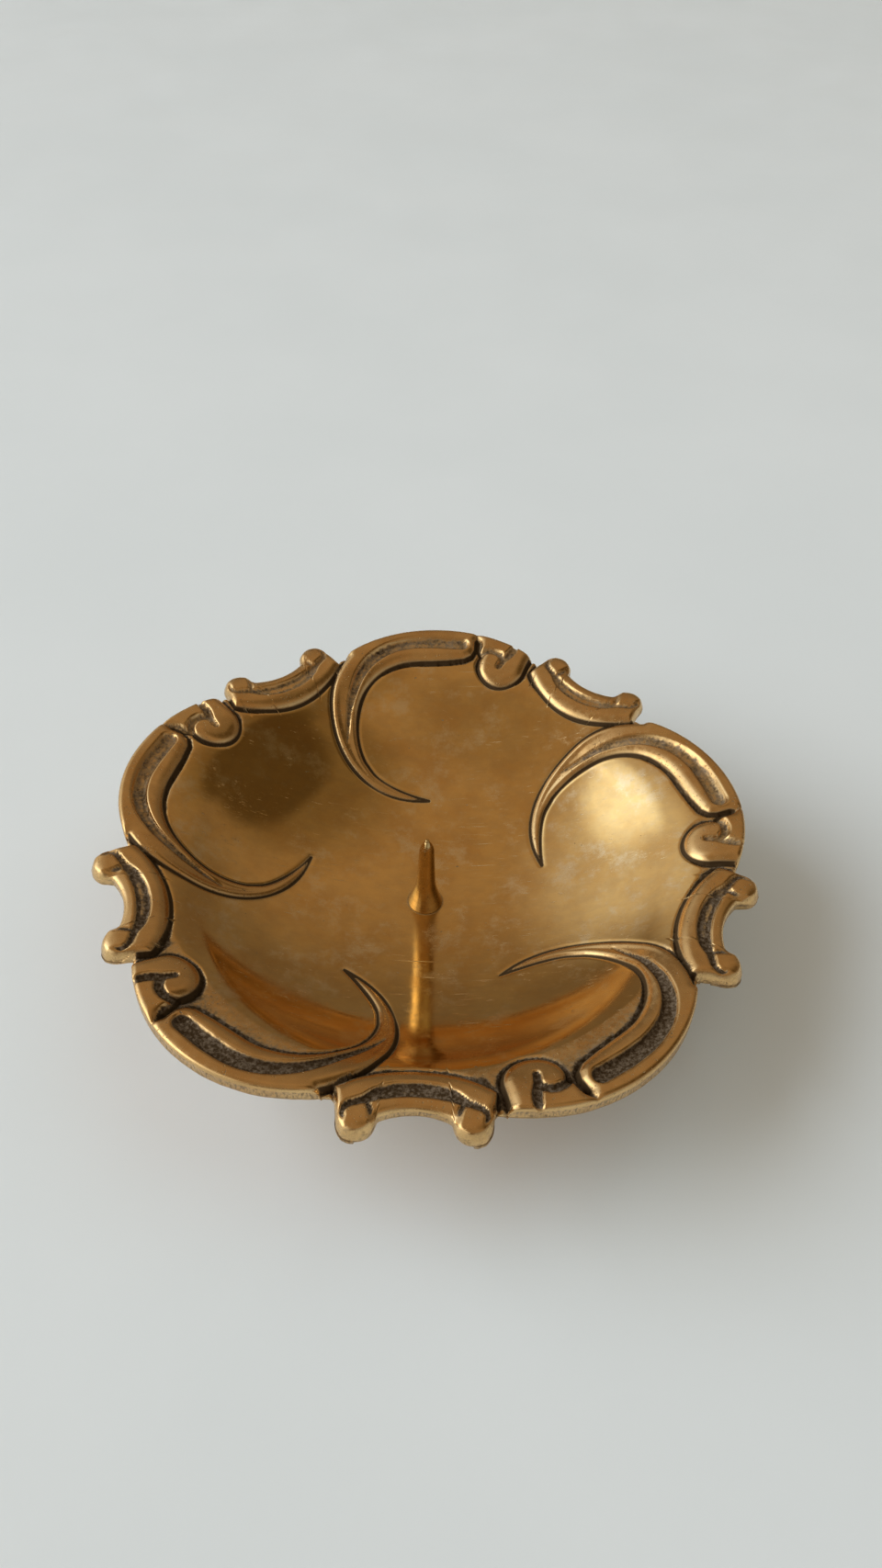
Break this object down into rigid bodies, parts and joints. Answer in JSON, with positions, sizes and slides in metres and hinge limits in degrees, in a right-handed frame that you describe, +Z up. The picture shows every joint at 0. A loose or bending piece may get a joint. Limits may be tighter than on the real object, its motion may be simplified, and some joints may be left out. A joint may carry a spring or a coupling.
{
  "type": "pricket candle dish",
  "caption": "Shallow cast brass candle dish with a scrolled five-lobed rim, a central candle spike, and a low turned foot ring.",
  "frame": {"origin": "centre of the foot ring's underside, on the table", "axes": "+Z up along the pricket; +Y from the centre to the crest of one lobe; +X to the right of that"},
  "size_m": [0.1164, 0.1172, 0.0257],
  "materials": {
    "cast_brass": "cast, buffed bright on top, dark patina in the hollows",
    "turned_brass": "turned and polished",
    "ring_brass": "turned, dulled, scuffed underneath",
    "washer_brass": "dull, unpolished",
    "nut_brass": "dull, unpolished"
  },
  "bodies": {
    "root": {"dish": "cast_brass", "pricket": "turned_brass", "foot_ring": "ring_brass", "washer": "washer_brass", "nut": "nut_brass"}
  },
  "joints": []
}
